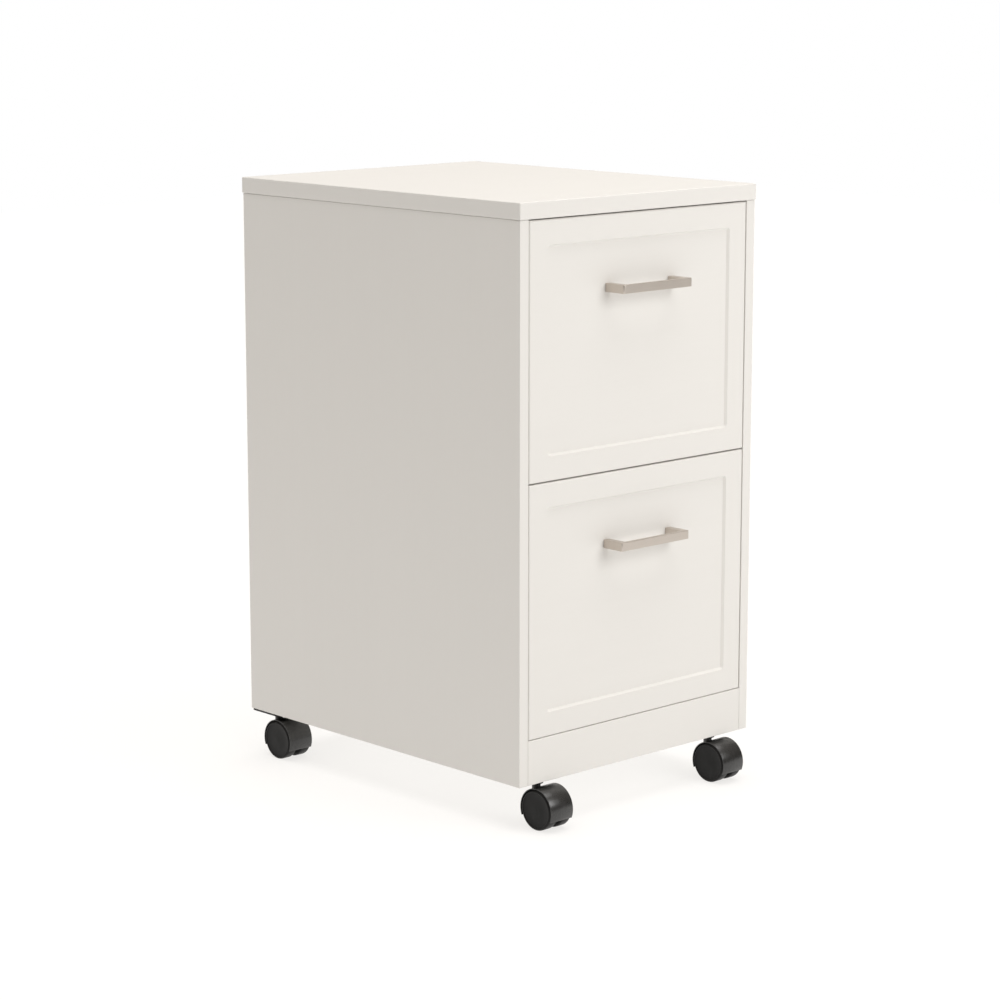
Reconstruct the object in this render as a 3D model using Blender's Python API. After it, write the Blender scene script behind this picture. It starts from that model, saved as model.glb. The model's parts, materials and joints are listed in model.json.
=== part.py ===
"""Mobile filing cabinet: a laminated board case on four swivel casters, with two letter-size file drawers.

The origin is the middle of the footprint on the floor. X runs to the right along the front, Y runs
from the front to the back, and Z is up. Every length is in metres.
"""

import math

import bmesh
import bpy
from mathutils import Matrix
from mathutils import Vector

MM = 0.001

# Driving dimensions: the case.
CASE_WIDTH = 398 * MM
CASE_DEPTH = 508.4 * MM
CASE_HEIGHT = 671.5 * MM
CASTER_HEIGHT = 59 * MM
BOARD = 14 * MM
SLAB_THICKNESS = 20 * MM
SLAB_OVERHANG = 1.15 * MM
BACK_THICKNESS = 3 * MM
BACK_REBATE = 7 * MM
KICK_HEIGHT = 54.5 * MM
CROSS_RAIL_DEPTH = 59.4 * MM
CROSS_RAIL_THICKNESS = 16 * MM
GAP = 0.3 * MM

# Driving dimensions: the drawer fronts.
FRONT_HEIGHT = 306.6 * MM
FRONT_THICKNESS = 18 * MM
FRONT_SIDE_GAP = 1.2 * MM
FRONT_GAP = 1.6 * MM
KICK_GAP = 0.6 * MM
RECESS_MARGIN = 28.3 * MM
RECESS_DEPTH = 3 * MM
RECESS_CORNER = 6 * MM
RECESS_SLOPE = 5 * MM

# Driving dimensions: the bar pulls.
PULL_LENGTH = 116 * MM
PULL_PROJECTION = 31.2 * MM
PULL_BAR_THICKNESS = 5 * MM
PULL_LEG_WIDTH = 9.5 * MM
PULL_HEIGHT = 10.5 * MM
PULL_CORNER = 2 * MM
PULL_DROP = 86.6 * MM

# Driving dimensions: the drawer boxes.
BOX_BOARD = 12 * MM
BOX_LENGTH = 450 * MM
BOX_HEIGHT = 243 * MM
BOX_RISE = 12 * MM
BOX_BOTTOM_THICKNESS = 4 * MM
GROOVE_DEPTH = 6.3 * MM
GROOVE_RISE = 10 * MM
FILE_RAIL_LIP = 12 * MM
FILE_RAIL_THICKNESS = 2 * MM

# Driving dimensions: the telescopic drawer slides.
SLIDE_THICKNESS = 12.7 * MM
SLIDE_LENGTH = 450 * MM
SLIDE_MIDDLE_LENGTH = 430 * MM
SLIDE_RISE = 60 * MM
SLIDE_METAL = 1.2 * MM
SLIDE_OUTER_HEIGHT = 45 * MM
SLIDE_MIDDLE_HEIGHT = 35 * MM
SLIDE_INNER_HEIGHT = 25 * MM
SLIDE_OUTER_FLANGE = 9.2 * MM
SLIDE_MIDDLE_FLANGE = 7.5 * MM
SLIDE_INNER_FLANGE = 6.4 * MM
SLIDE_MIDDLE_INSET = 3 * MM
SLIDE_SETBACK = 1.5 * MM

# Driving dimensions: the casters.
WHEEL_RADIUS = 24.7 * MM
WHEEL_INNER_FACE = 4.4 * MM
WHEEL_OUTER_FACE = 18.5 * MM
WHEEL_TREAD_CHAMFER = 1.6 * MM
HOOD_OUTER_RADIUS = 26.8 * MM
HOOD_INNER_RADIUS = 25.7 * MM
HOOD_HALF_WIDTH = 18 * MM
HOOD_END_ANGLE = math.radians(23)
WEB_HALF_WIDTH = 3.8 * MM
WEB_HUB_RADIUS = 9.4 * MM
AXLE_RADIUS = 2.5 * MM
AXLE_HALF_LENGTH = 14.6 * MM
AXLE_HOLE_LENGTH = 4 * WEB_HALF_WIDTH
TRAIL = 18 * MM
STEM_RADIUS = 5.3 * MM
STEM_BOTTOM = 27 * MM
SOCKET_OUTER_RADIUS = 8.5 * MM
SOCKET_HEIGHT = 4.5 * MM
PLATE_THICKNESS = 2 * MM
PLATE_LENGTH = 52 * MM
PLATE_WIDTH = 40 * MM
PLATE_CORNER = 4 * MM
FRONT_PLATE_OFFSET = 10.5 * MM
REAR_PLATE_OFFSET = 4.8 * MM
FRONT_CASTER_INSET_X = 48.5 * MM
FRONT_CASTER_INSET_Y = 21.7 * MM
REAR_CASTER_INSET_X = 20.3 * MM
REAR_CASTER_INSET_Y = 31.8 * MM

# How finely round shapes are divided.
WHEEL_STEPS = 36
STEM_STEPS = 24
CORNER_STEPS = 4
SMOOTH_BELOW = math.radians(35)
MERGE_DISTANCE = 0.001 * MM

# Places worked out from the driving dimensions.
PULL_OUTREACH = PULL_PROJECTION + GAP - RECESS_DEPTH
FRONT_PLANE = (PULL_OUTREACH - CASE_DEPTH - SLAB_OVERHANG) / 2
BACK_PLANE = FRONT_PLANE + CASE_DEPTH
HALF_WIDTH = CASE_WIDTH / 2
INNER_HALF_WIDTH = HALF_WIDTH - BOARD
CASE_BOTTOM = CASTER_HEIGHT
CASE_TOP = CASE_BOTTOM + CASE_HEIGHT
KICK_TOP = CASE_BOTTOM + KICK_HEIGHT
LOWER_FRONT_BOTTOM = KICK_TOP + KICK_GAP
UPPER_FRONT_BOTTOM = LOWER_FRONT_BOTTOM + FRONT_HEIGHT + FRONT_GAP
FRONT_HALF_WIDTH = INNER_HALF_WIDTH - FRONT_SIDE_GAP
BOX_HALF_WIDTH = INNER_HALF_WIDTH - SLIDE_THICKNESS
BOX_FRONT_PLANE = FRONT_PLANE + FRONT_THICKNESS + GAP
BOX_BACK_PLANE = BOX_FRONT_PLANE + BOX_LENGTH
SLIDE_FRONT = FRONT_PLANE + FRONT_THICKNESS + SLIDE_SETBACK

DRAWERS = {"lower": LOWER_FRONT_BOTTOM, "upper": UPPER_FRONT_BOTTOM}
SIDES = {"left": -1, "right": 1}

WHITE_LAMINATE = ("white_laminate", (0.86, 0.84, 0.80), 0.5, 0.0)
WHITE_HARDBOARD = ("white_hardboard", (0.80, 0.78, 0.74), 0.6, 0.0)
BOX_LAMINATE = ("drawer_box_laminate", (0.82, 0.80, 0.77), 0.55, 0.0)
BRUSHED_NICKEL = ("brushed_nickel", (0.56, 0.52, 0.48), 0.35, 1.0)
ZINC_STEEL = ("zinc_plated_steel", (0.62, 0.63, 0.64), 0.35, 1.0)
BLACK_STEEL = ("black_steel", (0.03, 0.03, 0.03), 0.45, 1.0)
BLACK_NYLON = ("black_nylon", (0.03, 0.03, 0.03), 0.5, 0.0)


def clear_scene():
    """Remove every object, so that the model is the only thing in the file."""
    for old in list(bpy.data.objects):
        bpy.data.objects.remove(old, do_unlink=True)


def material(finish):
    """Return the material of a finish, made the first time that it is needed."""
    name, colour, roughness, metallic = finish
    found = bpy.data.materials.get(name)
    if found:
        return found
    made = bpy.data.materials.new(name)
    made.use_nodes = True
    shader = made.node_tree.nodes["Principled BSDF"]
    shader.inputs["Base Color"].default_value = (*colour, 1.0)
    shader.inputs["Roughness"].default_value = roughness
    shader.inputs["Metallic"].default_value = metallic
    return made


def empty(name, location, parent=None):
    """Add an empty that stands on a joint's axis and carries what moves with it."""
    holder = bpy.data.objects.new(name, None)
    bpy.context.collection.objects.link(holder)
    holder.parent = parent
    holder.location = location
    return holder


def add_object(name, bm, finish, location=(0, 0, 0), parent=None, smooth=False):
    """Turn a bmesh into a named object with its finish, its place and its parent."""
    bmesh.ops.recalc_face_normals(bm, faces=bm.faces[:])
    mesh = bpy.data.meshes.new(name)
    bm.to_mesh(mesh)
    bm.free()
    mesh.materials.append(material(finish))
    if smooth:
        mesh.shade_smooth()
        mesh.set_sharp_from_angle(angle=SMOOTH_BELOW)
    made = bpy.data.objects.new(name, mesh)
    bpy.context.collection.objects.link(made)
    made.parent = parent
    made.location = location
    return made


def box_mesh(low, high):
    """A box between two corners."""
    bm = bmesh.new()
    size = Vector(high) - Vector(low)
    centre = (Vector(high) + Vector(low)) / 2
    place = Matrix.Translation(centre) @ Matrix.Diagonal((*size, 1.0))
    bmesh.ops.create_cube(bm, size=1.0, matrix=place)
    return bm


def board(name, low, high, finish, parent=None):
    """A square-edged board between two corners, with its origin at its middle."""
    centre = (Vector(high) + Vector(low)) / 2
    bm = box_mesh(Vector(low) - centre, Vector(high) - centre)
    return add_object(name, bm, finish, centre, parent)


def prism_mesh(outline, direction):
    """Extrude a flat outline of 3D points along a direction into a closed solid."""
    bm = bmesh.new()
    ring = [bm.verts.new(point) for point in outline]
    face = bm.faces.new(ring)
    grown = bmesh.ops.extrude_face_region(bm, geom=[face])["geom"]
    moved = [item for item in grown if isinstance(item, bmesh.types.BMVert)]
    bmesh.ops.translate(bm, vec=Vector(direction), verts=moved)
    return bm


def rounded_rectangle(half_width, half_height, radius):
    """Corner-rounded rectangle about the origin, anticlockwise, as pairs of coordinates."""
    points = []
    corners = ((1, 1), (-1, 1), (-1, -1), (1, -1))
    for number, (right, up) in enumerate(corners):
        centre_x = right * (half_width - radius)
        centre_y = up * (half_height - radius)
        for step in range(CORNER_STEPS + 1):
            angle = math.radians(90) * (number + step / CORNER_STEPS)
            points.append((centre_x + radius * math.cos(angle), centre_y + radius * math.sin(angle)))
    return points


def cylinder_mesh(radius, length, centre, axis, steps):
    """A closed cylinder about an axis, "X" or "Z", with its middle at a point."""
    bm = bmesh.new()
    turn = Matrix.Rotation(math.radians(90), 4, "Y") if axis == "X" else Matrix.Identity(4)
    bmesh.ops.create_cone(bm, cap_ends=True, segments=steps, radius1=radius, radius2=radius,
                          depth=length, matrix=Matrix.Translation(centre) @ turn)
    return bm


def combine(made, bm, operation):
    """Join a shape, drawn in an object's own frame, to the object, or cut it away from it."""
    bmesh.ops.recalc_face_normals(bm, faces=bm.faces[:])
    tool_mesh = bpy.data.meshes.new("tool")
    bm.to_mesh(tool_mesh)
    bm.free()
    tool = bpy.data.objects.new("tool", tool_mesh)
    bpy.context.collection.objects.link(tool)
    tool.parent = made.parent
    tool.location = made.location
    modifier = made.modifiers.new("shape", "BOOLEAN")
    modifier.operation = operation
    modifier.solver = "EXACT"
    modifier.object = tool
    bpy.context.view_layer.update()
    evaluated = made.evaluated_get(bpy.context.evaluated_depsgraph_get())
    result = bpy.data.meshes.new_from_object(evaluated)
    made.modifiers.remove(modifier)
    made.data = result
    bpy.data.objects.remove(tool, do_unlink=True)


def build_case():
    """The fixed boards of the case."""
    slab_half_width = HALF_WIDTH + SLAB_OVERHANG
    board("top_panel",
          (-slab_half_width, FRONT_PLANE - SLAB_OVERHANG, CASE_TOP),
          (slab_half_width, BACK_PLANE + SLAB_OVERHANG, CASE_TOP + SLAB_THICKNESS), WHITE_LAMINATE)
    for side, sign in SIDES.items():
        build_side_panel(side, sign)
    inside = INNER_HALF_WIDTH - GAP
    board("bottom_panel",
          (-inside, FRONT_PLANE + BOARD + GAP, CASE_BOTTOM),
          (inside, BACK_PLANE - BACK_THICKNESS - 2 * GAP, CASE_BOTTOM + BOARD), WHITE_LAMINATE)
    back_half_width = INNER_HALF_WIDTH + BACK_REBATE - GAP
    board("back_panel",
          (-back_half_width, BACK_PLANE - BACK_THICKNESS, CASE_BOTTOM + GAP),
          (back_half_width, BACK_PLANE, CASE_TOP - GAP), WHITE_HARDBOARD)
    board("kick_rail",
          (-inside, FRONT_PLANE, CASE_BOTTOM),
          (inside, FRONT_PLANE + BOARD, KICK_TOP), WHITE_LAMINATE)
    rail_low = UPPER_FRONT_BOTTOM - (FRONT_GAP + CROSS_RAIL_THICKNESS) / 2
    rail_front = FRONT_PLANE + FRONT_THICKNESS + 2 * GAP
    board("mid_cross_rail",
          (-inside, rail_front, rail_low),
          (inside, rail_front + CROSS_RAIL_DEPTH, rail_low + CROSS_RAIL_THICKNESS), WHITE_LAMINATE)


def build_side_panel(side, sign):
    """A side panel, with a rebate along its rear inner edge that takes the back panel."""
    outer = sign * HALF_WIDTH
    inner = sign * INNER_HALF_WIDTH
    rebate = sign * (INNER_HALF_WIDTH + BACK_REBATE)
    rebate_front = BACK_PLANE - BACK_THICKNESS - GAP
    outline = [(outer, FRONT_PLANE), (inner, FRONT_PLANE), (inner, rebate_front),
               (rebate, rebate_front), (rebate, BACK_PLANE), (outer, BACK_PLANE)]
    corners = [(x, y, CASE_BOTTOM) for x, y in outline]
    bm = prism_mesh(corners, (0, 0, CASE_HEIGHT - GAP))
    add_object(f"{side}_side_panel", bm, WHITE_LAMINATE)


def build_drawer_front(drawer, bottom, carrier):
    """An inset drawer front with a shallow routed recess, whose wall slopes gently to the panel."""
    bm = box_mesh((-FRONT_HALF_WIDTH, FRONT_PLANE, bottom),
                  (FRONT_HALF_WIDTH, FRONT_PLANE + FRONT_THICKNESS, bottom + FRONT_HEIGHT))
    front = add_object(f"{drawer}_drawer_front", bm, WHITE_LAMINATE, parent=carrier)
    half_width = FRONT_HALF_WIDTH - RECESS_MARGIN
    half_height = FRONT_HEIGHT / 2 - RECESS_MARGIN
    middle = bottom + FRONT_HEIGHT / 2
    floor = rounded_rectangle(half_width - RECESS_SLOPE, half_height - RECESS_SLOPE,
                              RECESS_CORNER - RECESS_SLOPE)
    mouth = rounded_rectangle(half_width, half_height, RECESS_CORNER)
    outlines = [(floor, FRONT_PLANE + RECESS_DEPTH), (mouth, FRONT_PLANE), (mouth, FRONT_PLANE - BOARD)]
    cutter = bmesh.new()
    rings = []
    for outline, y in outlines:
        rings.append([cutter.verts.new((x, y, middle + z)) for x, z in outline])
    for lower_ring, upper_ring in zip(rings, rings[1:]):
        count = len(lower_ring)
        for i in range(count):
            j = (i + 1) % count
            cutter.faces.new((lower_ring[i], lower_ring[j], upper_ring[j], upper_ring[i]))
    cutter.faces.new(rings[0])
    cutter.faces.new(rings[-1])
    combine(front, cutter, "DIFFERENCE")


def build_pull(drawer, bottom, carrier):
    """A square bar pull: one strip bent into a shallow U, standing on the recessed panel."""
    half = PULL_LENGTH / 2
    foot = FRONT_PLANE + RECESS_DEPTH - GAP
    face = foot - PULL_PROJECTION
    underside = face + PULL_BAR_THICKNESS
    inner = half - PULL_LEG_WIDTH
    outline = [(inner, foot), (inner, underside), (-inner, underside), (-inner, foot), (-half, foot)]
    for corner_x, start in ((-half + PULL_CORNER, 180), (half - PULL_CORNER, 270)):
        for step in range(CORNER_STEPS + 1):
            angle = math.radians(start + 90 * step / CORNER_STEPS)
            outline.append((corner_x + PULL_CORNER * math.cos(angle),
                            face + PULL_CORNER + PULL_CORNER * math.sin(angle)))
    outline.append((half, foot))
    low = bottom + FRONT_HEIGHT - PULL_DROP - PULL_HEIGHT / 2
    bm = prism_mesh([(x, y, low) for x, y in outline], (0, 0, PULL_HEIGHT))
    add_object(f"{drawer}_drawer_pull", bm, BRUSHED_NICKEL, parent=carrier)


def build_box_side(drawer, side, sign, bottom, carrier):
    """A side of the drawer box, with a groove for the bottom along its inner face."""
    outer = sign * BOX_HALF_WIDTH
    inner = sign * (BOX_HALF_WIDTH - BOX_BOARD)
    groove = sign * (BOX_HALF_WIDTH - BOX_BOARD + GROOVE_DEPTH)
    groove_low = bottom + GROOVE_RISE
    groove_high = groove_low + BOX_BOTTOM_THICKNESS + 2 * GAP
    outline = [(outer, bottom), (inner, bottom), (inner, groove_low), (groove, groove_low),
               (groove, groove_high), (inner, groove_high), (inner, bottom + BOX_HEIGHT),
               (outer, bottom + BOX_HEIGHT)]
    corners = [(x, BOX_FRONT_PLANE, z) for x, z in outline]
    bm = prism_mesh(corners, (0, BOX_LENGTH, 0))
    add_object(f"{drawer}_box_{side}", bm, BOX_LAMINATE, parent=carrier)


def build_box_end(name, near, far, bottom, carrier):
    """The front or back of the drawer box: near is the face towards the files, which has the groove."""
    half_width = BOX_HALF_WIDTH - BOX_BOARD - GAP
    groove = near + math.copysign(GROOVE_DEPTH, far - near)
    groove_low = bottom + GROOVE_RISE
    groove_high = groove_low + BOX_BOTTOM_THICKNESS + 2 * GAP
    outline = [(far, bottom), (near, bottom), (near, groove_low), (groove, groove_low),
               (groove, groove_high), (near, groove_high), (near, bottom + BOX_HEIGHT),
               (far, bottom + BOX_HEIGHT)]
    corners = [(-half_width, y, z) for y, z in outline]
    bm = prism_mesh(corners, (2 * half_width, 0, 0))
    add_object(name, bm, BOX_LAMINATE, parent=carrier)


def build_file_rail(drawer, side, sign, bottom, carrier):
    """An angle strip on top of a box side: its upright lip carries the hooks of hanging files."""
    low = bottom + BOX_HEIGHT + GAP
    inner = sign * (BOX_HALF_WIDTH - BOX_BOARD)
    outer = sign * BOX_HALF_WIDTH
    lip = inner + sign * FILE_RAIL_THICKNESS
    flange_top = low + FILE_RAIL_THICKNESS
    outline = [(outer, low), (inner, low), (inner, low + FILE_RAIL_LIP), (lip, low + FILE_RAIL_LIP),
               (lip, flange_top), (outer, flange_top)]
    front = BOX_FRONT_PLANE + BOX_BOARD + GAP
    corners = [(x, front, z) for x, z in outline]
    bm = prism_mesh(corners, (0, BOX_LENGTH - 2 * (BOX_BOARD + GAP), 0))
    add_object(f"{drawer}_{side}_file_rail", bm, ZINC_STEEL, parent=carrier)


def channel_mesh(web, flange_end, half_height, front, length, middle_height):
    """A steel channel along Y: the web stands at one X and the flanges reach towards another."""
    sheet = math.copysign(SLIDE_METAL, flange_end - web)
    inner_half = half_height - SLIDE_METAL
    outline = [(web, -half_height), (flange_end, -half_height), (flange_end, -inner_half),
               (web + sheet, -inner_half), (web + sheet, inner_half), (flange_end, inner_half),
               (flange_end, half_height), (web, half_height)]
    corners = [(x, front, middle_height + z) for x, z in outline]
    return prism_mesh(corners, (0, length, 0))


def build_slide(drawer, side, sign, height, middle_carrier, drawer_carrier):
    """A three-piece telescopic slide: case member, intermediate member and drawer member."""
    case_web = sign * (INNER_HALF_WIDTH - GAP)
    case_flange = case_web - sign * SLIDE_OUTER_FLANGE
    bm = channel_mesh(case_web, case_flange, SLIDE_OUTER_HEIGHT / 2, SLIDE_FRONT, SLIDE_LENGTH, height)
    add_object(f"{drawer}_{side}_slide_case_member", bm, ZINC_STEEL)
    middle_web = case_web - sign * SLIDE_MIDDLE_INSET
    middle_flange = middle_web - sign * SLIDE_MIDDLE_FLANGE
    bm = channel_mesh(middle_web, middle_flange, SLIDE_MIDDLE_HEIGHT / 2, SLIDE_FRONT,
                      SLIDE_MIDDLE_LENGTH, height)
    add_object(f"{drawer}_{side}_slide_middle_member", bm, ZINC_STEEL, parent=middle_carrier)
    drawer_web = sign * (BOX_HALF_WIDTH + GAP)
    drawer_flange = drawer_web + sign * SLIDE_INNER_FLANGE
    bm = channel_mesh(drawer_web, drawer_flange, SLIDE_INNER_HEIGHT / 2, SLIDE_FRONT,
                      SLIDE_LENGTH, height)
    add_object(f"{drawer}_{side}_slide_drawer_member", bm, ZINC_STEEL, parent=drawer_carrier)


def build_drawer(drawer, front_bottom):
    """One drawer: its front, pull, box, file rails and slides, on an empty that slides along Y."""
    carrier = empty(f"{drawer}_drawer_carrier", (0, 0, 0))
    middle_carrier = empty(f"{drawer}_slide_carrier", (0, 0, 0))
    box_bottom = front_bottom + BOX_RISE
    build_drawer_front(drawer, front_bottom, carrier)
    build_pull(drawer, front_bottom, carrier)
    for side, sign in SIDES.items():
        build_box_side(drawer, side, sign, box_bottom, carrier)
        build_file_rail(drawer, side, sign, box_bottom, carrier)
        build_slide(drawer, side, sign, box_bottom + SLIDE_RISE, middle_carrier, carrier)
    build_box_end(f"{drawer}_box_front", BOX_FRONT_PLANE + BOX_BOARD, BOX_FRONT_PLANE, box_bottom, carrier)
    build_box_end(f"{drawer}_box_back", BOX_BACK_PLANE - BOX_BOARD, BOX_BACK_PLANE, box_bottom, carrier)
    tongue = GROOVE_DEPTH - GAP
    half_width = BOX_HALF_WIDTH - BOX_BOARD + tongue
    board(f"{drawer}_box_bottom",
          (-half_width, BOX_FRONT_PLANE + BOX_BOARD - tongue, box_bottom + GROOVE_RISE + GAP),
          (half_width, BOX_BACK_PLANE - BOX_BOARD + tongue,
           box_bottom + GROOVE_RISE + GAP + BOX_BOTTOM_THICKNESS),
          WHITE_HARDBOARD, carrier)


def build_mounting_plate(corner, stem_x, stem_y, turned):
    """The fixed plate of a caster, set back from the socket ring that its stem turns in."""
    half_x = PLATE_LENGTH / 2 if turned else PLATE_WIDTH / 2
    half_y = PLATE_WIDTH / 2 if turned else PLATE_LENGTH / 2
    offset = FRONT_PLATE_OFFSET if turned else REAR_PLATE_OFFSET
    top = CASE_BOTTOM - GAP
    low = top - PLATE_THICKNESS
    outline = rounded_rectangle(half_x, half_y, PLATE_CORNER)
    bm = prism_mesh([(x, y + offset, low) for x, y in outline], (0, 0, PLATE_THICKNESS))
    plate = add_object(f"{corner}_caster_plate", bm, BLACK_STEEL, (stem_x, stem_y, 0), smooth=True)
    overlap = PLATE_THICKNESS / 2
    ring_bottom = low - SOCKET_HEIGHT
    ring_middle = (ring_bottom + low + overlap) / 2
    ring_length = SOCKET_HEIGHT + overlap
    combine(plate, cylinder_mesh(SOCKET_OUTER_RADIUS, ring_length, (0, 0, ring_middle), "Z", STEM_STEPS),
            "UNION")
    combine(plate, cylinder_mesh(STEM_RADIUS + GAP, 2 * SOCKET_HEIGHT, (0, 0, ring_bottom), "Z",
                                 STEM_STEPS), "DIFFERENCE")


def stem_mesh(axle_y, well_radius):
    """The upright stem, with its foot scooped out so that it ends inside the hood and the web."""
    stem_top = CASE_BOTTOM - PLATE_THICKNESS - 2 * GAP
    height = stem_top - STEM_BOTTOM
    bm = cylinder_mesh(STEM_RADIUS, height, (0, 0, STEM_BOTTOM + height / 2), "Z", STEM_STEPS)
    stem = add_object("stem", bm, BLACK_NYLON)
    slot_half_width = WEB_HALF_WIDTH - GAP
    for sign in SIDES.values():
        middle = sign * (slot_half_width + STEM_RADIUS)
        well = cylinder_mesh(well_radius, 2 * STEM_RADIUS, (middle, axle_y, WHEEL_RADIUS), "X",
                             2 * WHEEL_STEPS)
        combine(stem, well, "DIFFERENCE")
    scooped = bmesh.new()
    scooped.from_mesh(stem.data)
    bpy.data.objects.remove(stem, do_unlink=True)
    return scooped


def build_housing(corner, swivel):
    """The hooded housing: an arched hood, a web between the wheels, and the stem behind the axle."""
    hood_angles = [-HOOD_END_ANGLE + (math.pi + 2 * HOOD_END_ANGLE) * step / WHEEL_STEPS
                   for step in range(WHEEL_STEPS + 1)]
    axle_y = -TRAIL
    outer_arc = [(axle_y - HOOD_OUTER_RADIUS * math.cos(a), WHEEL_RADIUS + HOOD_OUTER_RADIUS * math.sin(a))
                 for a in hood_angles]
    inner_arc = [(axle_y - HOOD_INNER_RADIUS * math.cos(a), WHEEL_RADIUS + HOOD_INNER_RADIUS * math.sin(a))
                 for a in reversed(hood_angles)]
    bm = prism_mesh([(-HOOD_HALF_WIDTH, y, z) for y, z in outer_arc + inner_arc],
                    (2 * HOOD_HALF_WIDTH, 0, 0))
    housing = add_object(f"{corner}_caster_housing", bm, BLACK_NYLON, parent=swivel)
    web_radius = (HOOD_OUTER_RADIUS + HOOD_INNER_RADIUS) / 2
    web_arc = [(axle_y - web_radius * math.cos(a), WHEEL_RADIUS + web_radius * math.sin(a))
               for a in hood_angles[1:-1]]
    hub_arc = [(axle_y + WEB_HUB_RADIUS * math.cos(math.pi * step / STEM_STEPS),
                WHEEL_RADIUS - WEB_HUB_RADIUS * math.sin(math.pi * step / STEM_STEPS))
               for step in range(STEM_STEPS + 1)]
    web = prism_mesh([(-WEB_HALF_WIDTH, y, z) for y, z in web_arc + hub_arc], (2 * WEB_HALF_WIDTH, 0, 0))
    combine(housing, web, "UNION")
    combine(housing, stem_mesh(axle_y, web_radius), "UNION")
    axle_hole = cylinder_mesh(AXLE_RADIUS + GAP, AXLE_HOLE_LENGTH, (0, axle_y, WHEEL_RADIUS), "X",
                              STEM_STEPS)
    combine(housing, axle_hole, "DIFFERENCE")
    housing.data.shade_smooth()
    housing.data.set_sharp_from_angle(angle=SMOOTH_BELOW)


def build_wheel(corner, side, sign, axle_carrier):
    """One of the two wheels: a solid disc with a chamfered tread and a blind bore for the axle."""
    bore_radius = AXLE_RADIUS + GAP
    bore_end = AXLE_HALF_LENGTH + GAP
    hub_side = WHEEL_RADIUS - WHEEL_TREAD_CHAMFER
    profile = [(bore_end, 0), (bore_end, bore_radius), (WHEEL_INNER_FACE, bore_radius),
               (WHEEL_INNER_FACE, hub_side), (WHEEL_INNER_FACE + WHEEL_TREAD_CHAMFER, WHEEL_RADIUS),
               (WHEEL_OUTER_FACE - WHEEL_TREAD_CHAMFER, WHEEL_RADIUS), (WHEEL_OUTER_FACE, hub_side),
               (WHEEL_OUTER_FACE, 0)]
    bm = bmesh.new()
    ring = [bm.verts.new((sign * along, 0, -radius)) for along, radius in profile]
    edges = [bm.edges.new(pair) for pair in zip(ring, ring[1:])]
    bmesh.ops.spin(bm, geom=ring + edges, cent=(0, 0, 0), axis=(1, 0, 0), angle=math.tau,
                   steps=WHEEL_STEPS, use_merge=True)
    bmesh.ops.remove_doubles(bm, verts=bm.verts[:], dist=MERGE_DISTANCE)
    add_object(f"{corner}_caster_{side}_wheel", bm, BLACK_NYLON, parent=axle_carrier, smooth=True)


def build_caster(corner, stem_x, stem_y, turned):
    """A twin-wheel swivel caster, whose wheels trail towards the front of the cabinet at rest."""
    build_mounting_plate(corner, stem_x, stem_y, turned)
    swivel = empty(f"{corner}_swivel", (stem_x, stem_y, 0))
    build_housing(corner, swivel)
    axle_carrier = empty(f"{corner}_axle_line", (0, -TRAIL, WHEEL_RADIUS), swivel)
    bm = cylinder_mesh(AXLE_RADIUS, 2 * AXLE_HALF_LENGTH, (0, 0, 0), "X", STEM_STEPS)
    add_object(f"{corner}_caster_axle", bm, ZINC_STEEL, parent=axle_carrier, smooth=True)
    for side, sign in SIDES.items():
        build_wheel(corner, side, sign, axle_carrier)


def build_casters():
    """Four casters: the front pair stands further in than the rear pair."""
    for side, sign in SIDES.items():
        build_caster(f"front_{side}", sign * (HALF_WIDTH - FRONT_CASTER_INSET_X),
                     FRONT_PLANE + FRONT_CASTER_INSET_Y, True)
        build_caster(f"rear_{side}", sign * (HALF_WIDTH - REAR_CASTER_INSET_X),
                     BACK_PLANE - REAR_CASTER_INSET_Y, False)


clear_scene()
build_case()
for drawer_name, drawer_bottom in DRAWERS.items():
    build_drawer(drawer_name, drawer_bottom)
build_casters()
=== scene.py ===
# %% [markdown]
# # A mobile filing cabinet
# The real cabinet is a case of white laminated board on four black twin-wheel casters. Two inset
# drawer fronts with a routed recess carry square brushed-nickel pulls, and behind them are board
# drawer boxes on telescopic steel slides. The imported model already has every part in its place, so
# this lesson keeps those places and remakes each part with its soft arrises, bends, screws and finish.

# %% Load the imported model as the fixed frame
import json
import math

import bmesh
import bpy
from mathutils import Matrix
from mathutils import Vector


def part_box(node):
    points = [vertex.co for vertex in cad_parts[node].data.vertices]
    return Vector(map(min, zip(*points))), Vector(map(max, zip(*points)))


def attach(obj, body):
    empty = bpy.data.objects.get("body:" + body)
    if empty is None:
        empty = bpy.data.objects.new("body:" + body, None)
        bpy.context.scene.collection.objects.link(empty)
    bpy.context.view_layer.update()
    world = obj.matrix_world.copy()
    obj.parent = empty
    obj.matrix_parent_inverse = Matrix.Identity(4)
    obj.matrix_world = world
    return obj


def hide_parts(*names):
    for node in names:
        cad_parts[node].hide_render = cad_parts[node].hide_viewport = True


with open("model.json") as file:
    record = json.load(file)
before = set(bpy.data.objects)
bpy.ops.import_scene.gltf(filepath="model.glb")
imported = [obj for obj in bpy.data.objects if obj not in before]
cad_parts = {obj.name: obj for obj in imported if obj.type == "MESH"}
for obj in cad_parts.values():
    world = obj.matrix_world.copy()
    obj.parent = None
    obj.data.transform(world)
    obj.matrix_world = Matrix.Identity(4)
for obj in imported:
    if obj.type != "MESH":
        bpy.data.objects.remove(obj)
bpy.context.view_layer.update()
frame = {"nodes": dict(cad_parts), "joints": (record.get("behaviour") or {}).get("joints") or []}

nodes = frame["nodes"]
joints = {joint["name"]: joint for joint in frame["joints"]}

# %% [markdown]
# ## Camera first
# Furniture is best seen from a little above its own height and with a long lens, so that the case
# keeps its proportions. The camera stands in front of the left front corner and looks slightly down.
# It is placed from the case's own box, by how far it stands to the side, in front and above the floor.

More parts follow.
